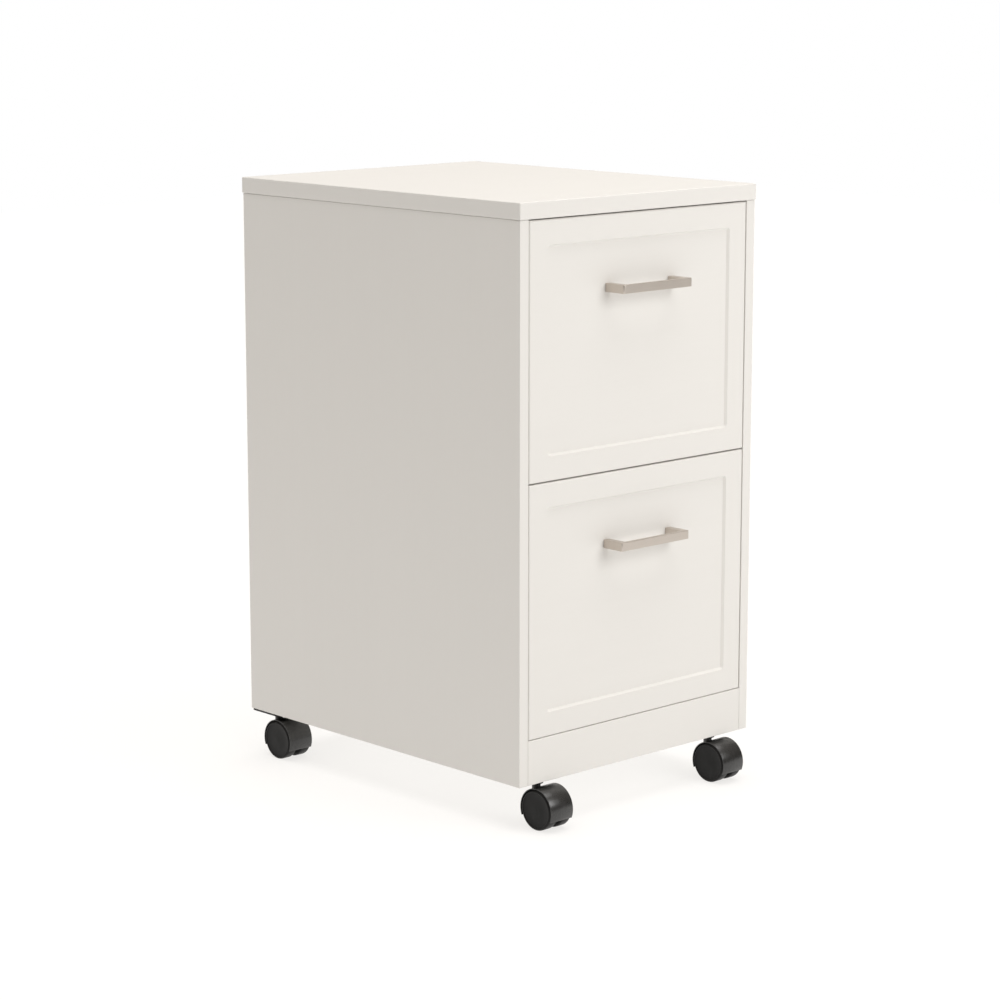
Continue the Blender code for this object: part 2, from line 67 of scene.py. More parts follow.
# %% Place the camera
MM = 0.001
CAMERA_LEFT_OF_CASE = 2289.5 * MM
CAMERA_BEFORE_CASE = 2411.8 * MM
CAMERA_HEIGHT = 1043 * MM
CAMERA_TURN = math.radians(43.115)
CAMERA_DIP = math.radians(10.839)
CAMERA_LENS = 105.1

side_low, side_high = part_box("left_side_panel")
camera_data = bpy.data.cameras.new("camera")
camera_data.lens = CAMERA_LENS
camera = bpy.data.objects.new("camera", camera_data)
camera.location = (side_low.x - CAMERA_LEFT_OF_CASE, side_low.y - CAMERA_BEFORE_CASE, CAMERA_HEIGHT)
camera.rotation_euler = (math.pi / 2 - CAMERA_DIP, 0, -CAMERA_TURN)
bpy.context.scene.collection.objects.link(camera)
bpy.context.scene.camera = camera
print("camera at", [round(value, 3) for value in camera.location])

# %% [markdown]
# ## Arithmetic on sockets
# A finish is a sum of small effects: a slow drift of colour, a fine grain, a little wear. Written with
# nodes by hand, each sum is a tangle, so one small class wraps a socket and lets Python's own
# operators add the Math nodes. Every other node comes from its one method, `node`.

# %% A socket that can be added, multiplied and fed to any node
class Wire:
    """One output socket of a material; arithmetic on it adds Math nodes to the same material."""

    def __init__(self, tree, socket=None):
        self.tree = tree
        self.socket = socket

    def node(self, kind, settings=None, inputs=None, output=0):
        made = self.tree.nodes.new(kind)
        for name, value in (settings or {}).items():
            setattr(made, name, value)
        for name, value in (inputs or {}).items():
            if isinstance(value, Wire):
                self.tree.links.new(value.socket, made.inputs[name])
            else:
                made.inputs[name].default_value = value
        return Wire(self.tree, made.outputs[output])

    def math(self, operation, first, second=0.0):
        return self.node("ShaderNodeMath", {"operation": operation}, {0: first, 1: second})

    def __add__(self, other):
        return self.math("ADD", self, other)

    def __radd__(self, other):
        return self.math("ADD", other, self)

    def __sub__(self, other):
        return self.math("SUBTRACT", self, other)

    def __rsub__(self, other):
        return self.math("SUBTRACT", other, self)

    def __mul__(self, other):
        return self.math("MULTIPLY", self, other)

    def __rmul__(self, other):
        return self.math("MULTIPLY", other, self)

    def clamped(self):
        return self.node("ShaderNodeClamp", {}, {"Value": self})

    def noise(self, place, scale, stretch=(1, 1, 1), detail=3.0, roughness=0.5):
        """Noise about 0 to 1 with so many features in a metre, drawn out along an axis by a small stretch."""
        spread = self.node("ShaderNodeMapping", {}, {"Vector": place, "Scale": stretch})
        return self.node("ShaderNodeTexNoise", {},
                         {"Vector": spread, "Scale": scale, "Detail": detail, "Roughness": roughness})

    def blend(self, factor, first, second):
        """A colour between two colours."""
        return self.node("ShaderNodeMix", {"data_type": "RGBA"}, {0: factor, 6: first, 7: second}, 2)

    def bump(self, height, distance, strength=1.0):
        return self.node("ShaderNodeBump", {}, {"Height": height, "Distance": distance, "Strength": strength})


# %% Start a finish
def start_finish(name, roughness, metallic=0.0):
    """A new material with one Principled shader; returns the material, its shader and a first Wire."""
    material = bpy.data.materials.new(name)
    material.use_nodes = True
    shader = material.node_tree.nodes["Principled BSDF"]
    shader.inputs["Roughness"].default_value = roughness
    shader.inputs["Metallic"].default_value = metallic
    return material, shader, Wire(material.node_tree)


def feed(wire, shader, socket):
    """Link a wire to one of the shader's sockets."""
    wire.tree.links.new(wire.socket, shader.inputs[socket])


# %% [markdown]
# ## White laminate
# Melamine laminate is a printed paper pressed with a shallow wood texture. From a step away it reads
# as plain warm white; close up there are faint drawn-out streaks, and the gloss is uneven along them.
# Stretching a noise along the grain gives those streaks. The same recipe serves the outer boards and
# the plainer drawer boxes, with the grain turned along X, Y or Z to follow how each board was cut.

# %% Laminate with a grain along one axis
GRAIN_STRETCH = {"X": (0.04, 1, 1), "Y": (1, 0.04, 1), "Z": (1, 1, 0.04)}


def laminate(name, along, light_tone, dark_tone, roughness, emboss):
    """Laminated board: streaks in colour, gloss and height that run along one axis."""
    material, shader, sheet = start_finish(name, roughness)
    place = sheet.node("ShaderNodeTexCoord", output="Object")
    streaks = sheet.noise(place, 420, GRAIN_STRETCH[along], 5, 0.62)
    figure = sheet.noise(place, 46, GRAIN_STRETCH[along], 2, 0.5)
    drift = sheet.noise(place, 5, (1, 1, 1), 2, 0.5)
    tone = (streaks * 0.5 + figure * 0.3 + drift * 0.2).clamped()
    feed(sheet.blend(tone, (*dark_tone, 1), (*light_tone, 1)), shader, "Base Color")
    feed((streaks * 0.12 + (roughness - 0.06)).clamped(), shader, "Roughness")
    feed(sheet.bump(streaks + figure * 0.4, emboss), shader, "Normal")
    return material


WARM_WHITE = (0.815, 0.797, 0.765)
WARM_WHITE_STREAK = (0.785, 0.767, 0.735)
BOX_WHITE = (0.79, 0.775, 0.745)
BOX_WHITE_STREAK = (0.75, 0.735, 0.705)
laminates = {axis: laminate(f"white_laminate_{axis.lower()}", axis, WARM_WHITE, WARM_WHITE_STREAK, 0.5,
                            0.05 * MM) for axis in "XYZ"}
box_laminates = {axis: laminate(f"drawer_box_laminate_{axis.lower()}", axis, BOX_WHITE, BOX_WHITE_STREAK,
                                0.55, 0.03 * MM) for axis in "XY"}
print("laminates:", len(laminates) + len(box_laminates))

# %% [markdown]
# ## Hardboard
# The back panel and the drawer bottoms are thin hardboard, painted white. Pressed fibre leaves a
# mottled skin, so the mottle is isotropic and coarser than the laminate's grain, and duller.

# %% Painted hardboard
HARDBOARD_DARK = (0.68, 0.655, 0.62, 1)
HARDBOARD_LIGHT = (0.78, 0.755, 0.72, 1)


def hardboard():
    """Painted fibreboard with a mottled, slightly dimpled skin."""
    material, shader, sheet = start_finish("painted_hardboard", 0.62)
    place = sheet.node("ShaderNodeTexCoord", output="Object")
    fibre = sheet.noise(place, 380, detail=4, roughness=0.7)
    mottle = sheet.noise(place, 24, detail=2)
    tone = (fibre * 0.45 + mottle * 0.55).clamped()
    feed(sheet.blend(tone, HARDBOARD_DARK, HARDBOARD_LIGHT), shader, "Base Color")
    feed((fibre * 0.2 + 0.5).clamped(), shader, "Roughness")
    feed(sheet.bump(fibre, 0.08 * MM), shader, "Normal")
    return material


white_hardboard = hardboard()

# %% [markdown]
# ## Metals
# The pulls are brushed nickel: fine scratches all run along the bar and spread the highlight. The
# slides and file rails are bright zinc plate, whose spangle shows as cloudy patches of gloss. Both are
# the same idea at two stretches, so one function makes both.

# %% Brushed and plated metal
def metal(name, colour, dull_colour, roughness, scale, stretch, depth):
    """Metal whose colour and gloss vary together over scratches or clouds of a given scale."""
    material, shader, sheet = start_finish(name, roughness, 1.0)
    place = sheet.node("ShaderNodeTexCoord", output="Object")
    marks = sheet.noise(place, scale, stretch, 4, 0.6)
    clouds = sheet.noise(place, 30, (1, 1, 1), 2, 0.5)
    feed(sheet.blend((marks * 0.6 + clouds * 0.4).clamped(), (*dull_colour, 1), (*colour, 1)), shader,
         "Base Color")
    feed((marks * 0.22 + clouds * 0.08 + (roughness - 0.15)).clamped(), shader, "Roughness")
    feed(sheet.bump(marks, depth), shader, "Normal")
    return material


brushed_nickel = metal("brushed_nickel", (0.66, 0.60, 0.545), (0.52, 0.47, 0.42), 0.36, 2600,
                       (0.02, 1, 1), 0.02 * MM)
zinc_plate = metal("zinc_plate", (0.70, 0.71, 0.72), (0.52, 0.53, 0.55), 0.34, 300, (1, 1, 1), 0.01 * MM)
bearing_steel = metal("bearing_steel", (0.75, 0.75, 0.76), (0.62, 0.62, 0.63), 0.2, 600, (1, 1, 1),
                      0.005 * MM)

# %% [markdown]
# ## Black nylon and black-coated steel
# Moulded nylon takes the fine sandblasted grain of its mould, and where it rubs it shows faint pale
# scuffs. The hoods are polished more than the wheels, so each gets its own sheen. The plates are
# powder-coated steel with a coarser orange-peel skin.

# %% Moulded nylon and powder coat
def moulded_black(name, colour, worn_colour, roughness, sheen, grain_scale, depth):
    """Black moulding or coating with a fine grain and faint pale scuffs."""
    material, shader, sheet = start_finish(name, roughness)
    shader.inputs["Specular IOR Level"].default_value = sheen
    place = sheet.node("ShaderNodeTexCoord", output="Object")
    grain = sheet.noise(place, grain_scale, detail=2)
    scuffs = sheet.noise(place, 160, (1, 1, 0.3), 5, 0.7)
    worn = ((scuffs - 0.52) * 3.0).clamped()
    feed(sheet.blend(worn, (*colour, 1), (*worn_colour, 1)), shader, "Base Color")
    feed((grain * 0.14 + worn * 0.12 + (roughness - 0.08)).clamped(), shader, "Roughness")
    feed(sheet.bump(grain, depth), shader, "Normal")
    return material


hood_nylon = moulded_black("hood_nylon", (0.010, 0.0097, 0.0093), (0.022, 0.0215, 0.021), 0.3, 0.8, 1500,
                           0.02 * MM)
wheel_nylon = moulded_black("wheel_nylon", (0.008, 0.0078, 0.0076), (0.022, 0.0215, 0.021), 0.4, 0.2, 1200,
                            0.02 * MM)
black_steel = moulded_black("black_coated_steel", (0.012, 0.012, 0.012), (0.03, 0.03, 0.03), 0.42, 0.3, 700,
                            0.03 * MM)

# %% [markdown]
# ## From a bmesh to a piece
# Every piece ends the same way: its mesh becomes an object at the origin, it rides on a body of the
# frame, it takes its finish, and it hides the plain solid that it stands for. Flat faces stay
# flat-shaded and only the rounded strips are smooth, so a wide board shows no false gradient.


def finished(name, bm, finish, body, stands_for=(), crease=None):
    """Make a bmesh into a piece; crease, in degrees, shades it smooth with edges sharper than that kept."""
    mesh = bpy.data.meshes.new(name)
    bm.to_mesh(mesh)
    bm.free()
    mesh.materials.append(finish)
    if crease:
        mesh.shade_smooth()
        mesh.set_sharp_from_angle(angle=math.radians(crease))
    piece = bpy.data.objects.new(name, mesh)
    bpy.context.scene.collection.objects.link(piece)
    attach(piece, body)
    if stands_for:
        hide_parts(*stands_for)
    return piece


def cuboid(bm, low, high):
    """Add a box between two corners; returns its vertices."""
    size = Vector(high) - Vector(low)
    centre = (Vector(high) + Vector(low)) / 2
    place = Matrix.Translation(centre) @ Matrix.Diagonal((*size, 1.0))
    return bmesh.ops.create_cube(bm, size=1.0, matrix=place)["verts"]


def round_edges(bm, edges, radius, segments=3):
    """Round a set of edges and shade only the rounded strips smooth."""
    made = bmesh.ops.bevel(bm, geom=edges, offset=radius, offset_type="OFFSET", affect="EDGES",
                           segments=segments, profile=0.5, clamp_overlap=True, material=-1)
    for face in made["faces"]:
        face.smooth = True
    return made


def sharp_edges(bm, degrees=40):
    """The edges where two faces meet at more than an angle."""
    return [edge for edge in bm.edges if edge.calc_face_angle(0.0) > math.radians(degrees)]


# %% [markdown]
# ## Boards with soft arrises
# A cut board with its edge band trimmed has arrises of about half a millimetre, and the top slab a
# little more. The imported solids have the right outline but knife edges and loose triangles, so a
# copy is merged, its flat triangles are dissolved into whole faces, and every arris is rounded. That
# keeps the rebates and grooves exactly where they are.

# %% A soft-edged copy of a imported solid
SAME_POINT = 0.005 * MM
SAME_PLANE = math.radians(0.5)


def soft_copy(node, radius, segments=3, degrees=40):
    """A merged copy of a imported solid, with whole flat faces and rounded arrises."""
    bm = bmesh.new()
    bm.from_mesh(nodes[node].data)
    bmesh.ops.remove_doubles(bm, verts=bm.verts[:], dist=SAME_POINT)
    bmesh.ops.dissolve_limit(bm, angle_limit=SAME_PLANE, verts=bm.verts[:], edges=bm.edges[:])
    for face in bm.faces:
        face.smooth = False
    round_edges(bm, sharp_edges(bm, degrees), radius, segments)
    return bm


BOARD_FINISHES = {
    "top_panel": ("top_slab", laminates["X"], 1.1 * MM, "white_laminate"),
    "left_side_panel": ("left_side_board", laminates["Z"], 0.6 * MM, "white_laminate"),
    "right_side_panel": ("right_side_board", laminates["Z"], 0.6 * MM, "white_laminate"),
    "bottom_panel": ("bottom_board", laminates["X"], 0.5 * MM, "white_laminate"),
    "kick_rail": ("kick_board", laminates["X"], 0.6 * MM, "white_laminate"),
    "mid_cross_rail": ("middle_rail_board", laminates["X"], 0.6 * MM, "white_laminate"),
    "back_panel": ("back_hardboard", white_hardboard, 0.3 * MM, "white_hardboard"),
}
for node, (name, finish, radius, slot) in BOARD_FINISHES.items():
    finished(name, soft_copy(node, radius), finish, "cabinet", [node])
print("case boards:", len(BOARD_FINISHES))

# %% [markdown]
# ## Routed drawer fronts
# Each front is one thick board whose middle was routed away, which leaves a flat frame, a sloping wall
# and a shallow panel. Seen from the front, every level of it is a rectangle with round corners. So the
# board is built as a stack of such outlines, from the back over the rounded front arris and the frame
# down into the recess, and each two are bridged by a strip of faces. The corners of the lip are
# rounder than those of the panel, as a turning cutter leaves them. Only the narrow strips are shaded
# smooth, and the lip and the foot of the wall are marked as sharp edges, so that the wall keeps its
# own shade.

# %% Routed fronts
FRAME_MARGIN = 29.4 * MM
RECESS_DEPTH = 3 * MM
WALL_RUN = 2.7 * MM
LIP_CORNER = 4 * MM
PANEL_CORNER = 1.3 * MM
FRONT_ROUNDING = 2 * MM
BOARD_CORNER = 0.6 * MM
BACK_EASE = 0.5 * MM
ROUNDING_STEPS = 5
CORNER_STEPS = 6
NARROW = 5 * MM
DRAWERS = ("lower", "upper")
SIDES = {"left": -1, "right": 1}


def rounded_outline(half_width, half_height, radius):
    """The points of a rectangle with round corners about the origin, anticlockwise."""
    points = []
    for quarter, (right, up) in enumerate(((1, 1), (-1, 1), (-1, -1), (1, -1))):
        for step in range(CORNER_STEPS + 1):
            angle = math.radians(90) * (quarter + step / CORNER_STEPS)
            points.append((right * (half_width - radius) + radius * math.cos(angle),
                           up * (half_height - radius) + radius * math.sin(angle)))
    return points


def routed_front(drawer):
    """A drawer front with a shallow routed panel behind a sloping wall."""
    low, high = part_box(f"{drawer}_drawer_front")
    middle = (low + high) / 2
    levels = [(BACK_EASE, high.y, BOARD_CORNER), (0, high.y - BACK_EASE, BOARD_CORNER)]
    for step in range(ROUNDING_STEPS + 1):
        angle = math.radians(90) * step / ROUNDING_STEPS
        levels.append((FRONT_ROUNDING * (1 - math.cos(angle)),
                       low.y + FRONT_ROUNDING * (1 - math.sin(angle)), BOARD_CORNER))
    levels.append((FRAME_MARGIN, low.y, LIP_CORNER))
    levels.append((FRAME_MARGIN + WALL_RUN, low.y + RECESS_DEPTH, PANEL_CORNER))
    bm = bmesh.new()
    rings = []
    for inset, y, radius in levels:
        outline = rounded_outline(high.x - middle.x - inset, high.z - middle.z - inset, radius)
        corners = [bm.verts.new((middle.x + x, y, middle.z + z)) for x, z in outline]
        rings.append([bm.edges.new((corners[i - 1], corners[i])) for i in range(len(corners))])
    for level, following, outer, inner in zip(levels, levels[1:], rings, rings[1:]):
        across = following[0] - level[0]
        deep = level[1] - following[1]
        for strip in bmesh.ops.bridge_loops(bm, edges=outer + inner)["faces"]:
            strip.smooth = max(across, deep) < NARROW
    for edge in rings[-1] + rings[-2]:
        edge.smooth = False
    for face in bmesh.ops.holes_fill(bm, edges=rings[0] + rings[-1])["faces"]:
        face.smooth = False
    bmesh.ops.recalc_face_normals(bm, faces=bm.faces[:])
    return bm


for drawer in DRAWERS:
    finished(f"{drawer}_routed_front", routed_front(drawer), laminates["X"], f"{drawer}_drawer",
             [f"{drawer}_drawer_front"])

# %% [markdown]
# ## Square bar pulls
# A pull is a flat nickel bar with two legs. A cuboid is scored near both ends with two cutting
# planes, and the end faces at the back are pulled out into legs. The outer corners get a larger
# radius than the arrises, as on a bent and then polished strip.

# %% Bar pulls
BAR_THICKNESS = 5 * MM
LEG_WIDTH = 9.5 * MM
OUTER_BEND = 2 * MM
INNER_BEND = 1.2 * MM
BAR_ARRIS = 0.5 * MM


def bar_pull(drawer):
    """A flat bar on two legs, with round outer corners."""
    low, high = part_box(f"{drawer}_drawer_pull")
    bm = bmesh.new()
    cuboid(bm, low, (high.x, low.y + BAR_THICKNESS, high.z))
    for cut in (low.x + LEG_WIDTH, high.x - LEG_WIDTH):
        bmesh.ops.bisect_plane(bm, geom=bm.verts[:] + bm.edges[:] + bm.faces[:], plane_co=(cut, 0, 0),
                               plane_no=(1, 0, 0))
    feet = [face for face in bm.faces if face.normal.y > 0.9
            and not low.x + LEG_WIDTH < face.calc_center_median().x < high.x - LEG_WIDTH]
    legs = bmesh.ops.extrude_discrete_faces(bm, faces=feet)["faces"]
    foot_verts = [vert for face in legs for vert in face.verts]
    bmesh.ops.translate(bm, verts=foot_verts, vec=(0, high.y - low.y - BAR_THICKNESS, 0))
    upright = [edge for edge in sharp_edges(bm) if abs(edge.verts[0].co.z - edge.verts[1].co.z) > MM
               and edge.verts[0].co.y < low.y + MM]
    round_edges(bm, upright, OUTER_BEND, 5)
    inner = [edge for edge in sharp_edges(bm) if abs(edge.verts[0].co.z - edge.verts[1].co.z) > MM
             and low.y + MM < edge.verts[0].co.y < high.y - MM]
    round_edges(bm, inner, INNER_BEND, 4)
    round_edges(bm, sharp_edges(bm, 45), BAR_ARRIS, 3)
    return bm


for drawer in DRAWERS:
    finished(f"{drawer}_bar_pull", bar_pull(drawer), brushed_nickel, f"{drawer}_drawer",
             [f"{drawer}_drawer_pull"])

# %% [markdown]
# ## Drawer boxes and file rails
# The boxes are thinner board with the bottom let into a groove. Their grain runs along each board's
# length. The angle strips on top of the sides carry hanging files, and their edges are rounded so that
# the hooks slide.

# %% Drawer boxes
BOX_BOARDS = {"box_left": "Y", "box_right": "Y", "box_front": "X", "box_back": "X"}
BOX_ARRIS = 0.7 * MM
BOX_BOTTOM_ARRIS = 0.4 * MM
FILE_RAIL_ARRIS = 0.5 * MM
for drawer in DRAWERS:
    body = f"{drawer}_drawer"
    for board, axis in BOX_BOARDS.items():
        node = f"{drawer}_{board}"
        finished(f"{node}_board", soft_copy(node, BOX_ARRIS), box_laminates[axis], body,
                 [node])
    node = f"{drawer}_box_bottom"
    finished(f"{node}_board", soft_copy(node, BOX_BOTTOM_ARRIS), white_hardboard, body,
             [node])
    for side in SIDES:
        node = f"{drawer}_{side}_file_rail"
        finished(f"{node}_strip", soft_copy(node, FILE_RAIL_ARRIS), zinc_plate, body, [node])

# %% [markdown]
# ## Telescopic slides
# A ball-bearing slide is three nested steel channels. Rolled sheet has bends instead of corners, so
# the copies get soft edges, and between the channels run caged steel balls. Each cage is a thin strip
# with its balls, carried by the intermediate member, and placed where the channels still overlap when
# the drawer is fully open.

# %% Slide channels
SLIDE_MEMBERS = {"case_member": "cabinet", "middle_member": "{}_slide_middles", "drawer_member": "{}_drawer"}
CHANNEL_ARRIS = 0.45 * MM
for drawer in DRAWERS:
    for side in SIDES:
        for member, body in SLIDE_MEMBERS.items():
            node = f"{drawer}_{side}_slide_{member}"
            finished(f"{node}_channel", soft_copy(node, CHANNEL_ARRIS), zinc_plate, body.format(drawer),
                     [node])

# %% Ball cages
BALL_RADIUS = 1.75 * MM
CHANNEL_SHEET = 1.2 * MM
CAGE_PITCH = 15 * MM
CAGE_BALLS = 9
CAGE_HALF_WIDTH = 1.6 * MM
CAGE_HALF_THICKNESS = 0.35 * MM
REAR_CAGE_START = 270 * MM
FRONT_CAGE_START = 8 * MM


def ball_cage(drawer, side, outer, inner, start):
    """Two rows of caged balls between an outer and an inner member, from a distance behind the front."""
    outer_low, outer_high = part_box(f"{drawer}_{side}_slide_{outer}")
    inner_low, inner_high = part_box(f"{drawer}_{side}_slide_{inner}")
    shared_low = max(outer_low.x, inner_low.x)
    shared_high = min(outer_high.x, inner_high.x)
    middle_x = (shared_low + shared_high) / 2
    bm = bmesh.new()
    for up in (-1, 1):
        outer_edge = outer_high.z if up > 0 else outer_low.z
        inner_edge = inner_high.z if up > 0 else inner_low.z
        middle_z = (outer_edge - up * CHANNEL_SHEET + inner_edge) / 2
        first = inner_low.y + start
        length = CAGE_PITCH * CAGE_BALLS
        cuboid(bm, (middle_x - CAGE_HALF_WIDTH, first, middle_z - CAGE_HALF_THICKNESS),
               (middle_x + CAGE_HALF_WIDTH, first + length, middle_z + CAGE_HALF_THICKNESS))
        for number in range(CAGE_BALLS):
            centre = (middle_x, first + CAGE_PITCH * (number + 0.5), middle_z)
            bmesh.ops.create_icosphere(bm, subdivisions=2, radius=BALL_RADIUS,
                                       matrix=Matrix.Translation(centre))
    return bm


for drawer in DRAWERS:
    for side in SIDES:
        body = f"{drawer}_slide_middles"
        rear = ball_cage(drawer, side, "case_member", "middle_member", REAR_CAGE_START)
        finished(f"{drawer}_{side}_rear_ball_cage", rear, bearing_steel, body, crease=40)
        front = ball_cage(drawer, side, "middle_member", "drawer_member", FRONT_CAGE_START)
        finished(f"{drawer}_{side}_front_ball_cage", front, bearing_steel, body, crease=40)

# %% [markdown]
# ## Screws
# Self-assembly furniture is held by cross-head screws with low domed heads. One head is modelled
# once: a twelve-sided cone whose top face is inset, and whose twelve inner vertices are moved onto the
# outline of a plus sign, which has exactly twelve corners, and then sunk. Copies are placed by a matrix
# whose Z axis points out of the board.

# %% One screw head, many places
CROSS_ARM = 0.55
CROSS_HALF_WIDTH = 0.14
CROSS_DEPTH = 0.6
CROSS_BORDER = 0.1
HEAD_TAPER = 0.8
HEAD_ROUNDING = 0.35


def screw_head(radius, height):
    """A domed head that stands on the XY plane, with a cross recess in its top."""
    bm = bmesh.new()
    bmesh.ops.create_cone(bm, cap_ends=True, segments=12, radius1=radius, radius2=radius * HEAD_TAPER,
                          depth=height, matrix=Matrix.Translation((0, 0, height / 2)))
    top = max(bm.faces, key=lambda face: face.calc_center_median().z)
    round_edges(bm, top.edges[:], height * HEAD_ROUNDING, 2)
    top = max(bm.faces, key=lambda face: face.calc_center_median().z)
    bmesh.ops.inset_individual(bm, faces=[top], thickness=radius * CROSS_BORDER, use_even_offset=True)
    for number, loop in enumerate(top.loops):
        quarter = number // 3
        across, along = ((CROSS_HALF_WIDTH, CROSS_ARM), (CROSS_HALF_WIDTH, CROSS_HALF_WIDTH),
                         (CROSS_ARM, CROSS_HALF_WIDTH))[number % 3]
        point = Matrix.Rotation(-quarter * math.pi / 2, 2) @ Vector((-across, along))
        loop.vert.co.x = point.x * radius
        loop.vert.co.y = point.y * radius
    sunk = bmesh.ops.extrude_discrete_faces(bm, faces=[top])["faces"]
    bmesh.ops.translate(bm, verts=sunk[0].verts[:], vec=(0, 0, -height * CROSS_DEPTH))
    return bm


def facing(point, direction):
    """A matrix at a point whose Z axis points along a direction."""
    turn = Vector((0, 0, 1)).rotation_difference(Vector(direction)).to_matrix().to_4x4()
    return Matrix.Translation(point) @ turn


def gathered(single, places):
    """One bmesh with a copy of a single shape at every place."""
    pattern = bpy.data.meshes.new("pattern")
    single.to_mesh(pattern)
    single.free()
    bm = bmesh.new()
    for place in places:
        before = len(bm.verts)
        bm.from_mesh(pattern)
        bm.verts.ensure_lookup_table()
        bmesh.ops.transform(bm, matrix=place, verts=bm.verts[before:])
    bpy.data.meshes.remove(pattern)
    return bm


# %% [markdown]
# ## Where the screws go
# Four screws through each box front hold the drawer front, two longer ones hold its pull, three hold
# each slide to the box, and four hold each caster plate. Nails fix the hardboard back.

# %% Drawer screws
FRONT_SCREW = {"radius": 4 * MM, "height": 2 * MM}
PULL_SCREW = {"radius": 4.5 * MM, "height": 2.4 * MM}
SLIDE_SCREW = {"radius": 3.4 * MM, "height": 1.8 * MM}
PULL_LEG_CENTRE = LEG_WIDTH / 2
FRONT_SCREWS_ACROSS = (-115 * MM, 115 * MM)
FRONT_SCREWS_UP = (45 * MM, 175 * MM)
SLIDE_SCREWS_ALONG = (35 * MM, 195 * MM, 395 * MM)
for drawer in DRAWERS:
    body = f"{drawer}_drawer"
    box_low, box_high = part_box(f"{drawer}_box_front")
    pull_low, pull_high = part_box(f"{drawer}_drawer_pull")
    pull_z = (pull_low.z + pull_high.z) / 2
    places = [facing((x, box_high.y, box_low.z + up), (0, 1, 0)) for x in FRONT_SCREWS_ACROSS
              for up in FRONT_SCREWS_UP]
    finished(f"{drawer}_front_screws", gathered(screw_head(**FRONT_SCREW), places), zinc_plate, body,
             crease=35)
    places = [facing((x, box_high.y, pull_z), (0, 1, 0))
              for x in (pull_low.x + PULL_LEG_CENTRE, pull_high.x - PULL_LEG_CENTRE)]
    finished(f"{drawer}_pull_screws", gathered(screw_head(**PULL_SCREW), places), zinc_plate, body,
             crease=35)
    for side, sign in SIDES.items():
        member_low, member_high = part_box(f"{drawer}_{side}_slide_drawer_member")
        web = member_low.x + CHANNEL_SHEET if sign > 0 else member_high.x - CHANNEL_SHEET
        middle = (member_low.z + member_high.z) / 2
        places = [facing((web, member_low.y + along, middle), (sign, 0, 0))
                  for along in SLIDE_SCREWS_ALONG]
        finished(f"{drawer}_{side}_slide_screws", gathered(screw_head(**SLIDE_SCREW), places),
                 zinc_plate, body, crease=35)

# %% Back-panel nails
back_low, back_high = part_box("back_panel")
NAIL_INSET = 3.5 * MM
NAIL_END = 15 * MM
NAIL_ROWS = 7
NAIL_RADIUS = 2.2 * MM
NAIL_CROWN = 1.6 * MM
NAIL_HEIGHT = 0.6 * MM
LOW_NAILS_ACROSS = (-110 * MM, 0, 110 * MM)
nail_places = []
for row in range(NAIL_ROWS):
    z = back_low.z + NAIL_END + row * (back_high.z - back_low.z - 2 * NAIL_END) / (NAIL_ROWS - 1)
    nail_places += [facing((x, back_high.y, z), (0, 1, 0))
                    for x in (back_low.x + NAIL_INSET, back_high.x - NAIL_INSET)]
for x in LOW_NAILS_ACROSS:
    nail_places.append(facing((x, back_high.y, back_low.z + NAIL_INSET * 2), (0, 1, 0)))
nail = bmesh.new()
bmesh.ops.create_cone(nail, cap_ends=True, segments=12, radius1=NAIL_RADIUS, radius2=NAIL_CROWN,
                      depth=NAIL_HEIGHT, matrix=Matrix.Translation((0, 0, NAIL_HEIGHT / 2)))
finished("back_panel_nails", gathered(nail, nail_places), zinc_plate, "cabinet", crease=40)
print("nails:", len(nail_places))

# %% [markdown]
# ## Casters
# Each caster is a nylon hood over two wheels, on a stem that turns in the plate's socket. The wheels
# are turned shapes, so their outline is spun about the axle: a blind bore and a hollow on the inner
# side, a round-shouldered tread, and a slightly dished outer face inside a raised rim. The hoods and
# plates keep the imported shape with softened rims.

# %% Wheels
CORNERS = ("front_left", "front_right", "rear_left", "rear_right")
WHEEL_OUTLINE = (
    (15.0, 0), (15.0, 2.8), (4.4, 2.8), (4.4, 6.6), (4.9, 7.1), (6.6, 7.4), (6.6, 20.0), (5.0, 20.6),
    (4.4, 21.2), (4.4, 22.7), (4.55, 23.5), (5.1, 24.3), (6.1, 24.7), (16.4, 24.7), (17.3, 24.45),
    (18.0, 23.9), (18.4, 23.1), (18.5, 22.4), (18.4, 21.9), (17.9, 21.4), (17.75, 20.8), (17.7, 12.0),
    (17.9, 4.2), (18.0, 2.2), (18.0, 0),
)
WHEEL_STEPS = 72


def spun_wheel(sign, centre):
    """A wheel turned about X: the outline gives distance from the caster's middle, and radius, in mm."""
    bm = bmesh.new()
    ring = [bm.verts.new((sign * along * MM, 0, -radius * MM)) for along, radius in WHEEL_OUTLINE]
    edges = [bm.edges.new(pair) for pair in zip(ring, ring[1:])]
    bmesh.ops.spin(bm, geom=ring + edges, cent=(0, 0, 0), axis=(1, 0, 0), angle=math.tau,
                   steps=WHEEL_STEPS, use_merge=True)
    bmesh.ops.remove_doubles(bm, verts=bm.verts[:], dist=SAME_POINT)
    bmesh.ops.recalc_face_normals(bm, faces=bm.faces[:])
    bmesh.ops.translate(bm, verts=bm.verts[:], vec=centre)
    return bm


for corner in CORNERS:
    for side, sign in SIDES.items():
        centre = Vector(joints[f"{corner}_{side}_wheel_spin"]["pos_m"])
        finished(f"{corner}_{side}_caster_disc", spun_wheel(sign, centre), wheel_nylon,
                 f"{corner}_{side}_wheel", [f"{corner}_caster_{side}_wheel"], crease=30)

